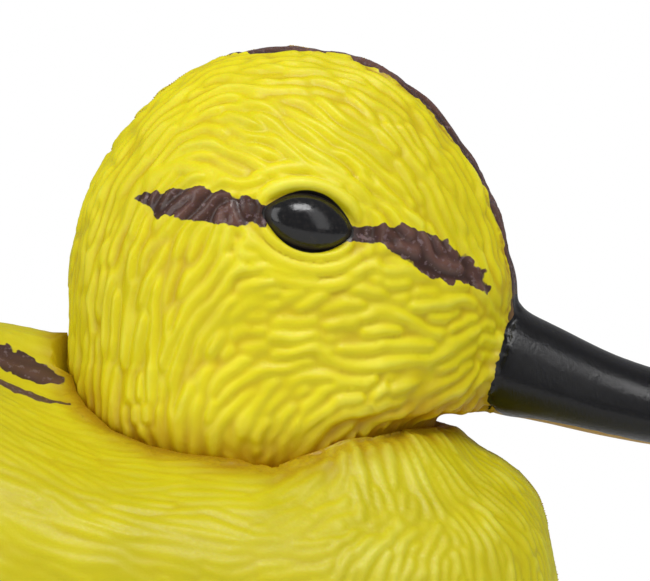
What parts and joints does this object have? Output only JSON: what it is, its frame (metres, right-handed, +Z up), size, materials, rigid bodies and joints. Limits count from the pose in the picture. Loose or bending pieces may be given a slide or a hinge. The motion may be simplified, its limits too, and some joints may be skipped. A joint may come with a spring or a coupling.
{
  "type": "floating duck decoy",
  "caption": "Floating duckling decoy with moulded feathers, a swivelling head, a ballasted screw-on keel and a push-in drain plug.",
  "frame": {"origin": "centre of the keel's flat underside, where the decoy stands", "axes": "+X towards the bill, +Z up, +Y the bird's left"},
  "size_m": [0.178, 0.084, 0.1153],
  "materials": {
    "shell_yellow": "satin yellow soft plastic, painted black on the bill and brown at the crown, eye stripes and back",
    "eye_black": "gloss black",
    "plug_white": "natural stiff plastic",
    "rubber_black": "matt black",
    "keel_grey": "moulded dark grey",
    "ballast_steel": "mill finish bar",
    "stainless": "bright stainless"
  },
  "bodies": {
    "float": {"body_shell": "shell_yellow", "keel": "keel_grey", "ballast_bar": "ballast_steel", "keel_screw_front": "stainless", "keel_screw_rear": "stainless", "keel_washer_front": "stainless", "keel_washer_rear": "stainless", "neck_seal": "rubber_black"},
    "head": {"head_shell": "shell_yellow", "eye_left": "eye_black", "eye_right": "eye_black", "neck_plug": "plug_white"},
    "drain": {"drain_plug": "rubber_black"}
  },
  "joints": [
    {"name": "head_swivel", "type": "hinge", "parent": "float", "child": "head", "pos_m": [0.02, 0, 0.0663], "axis": [0, 0, 1], "range_deg": [-45, 45]},
    {"name": "drain_pull", "type": "slide", "parent": "float", "child": "drain", "axis": [0, 0, -1], "range_m": [0, 0.012]}
  ]
}
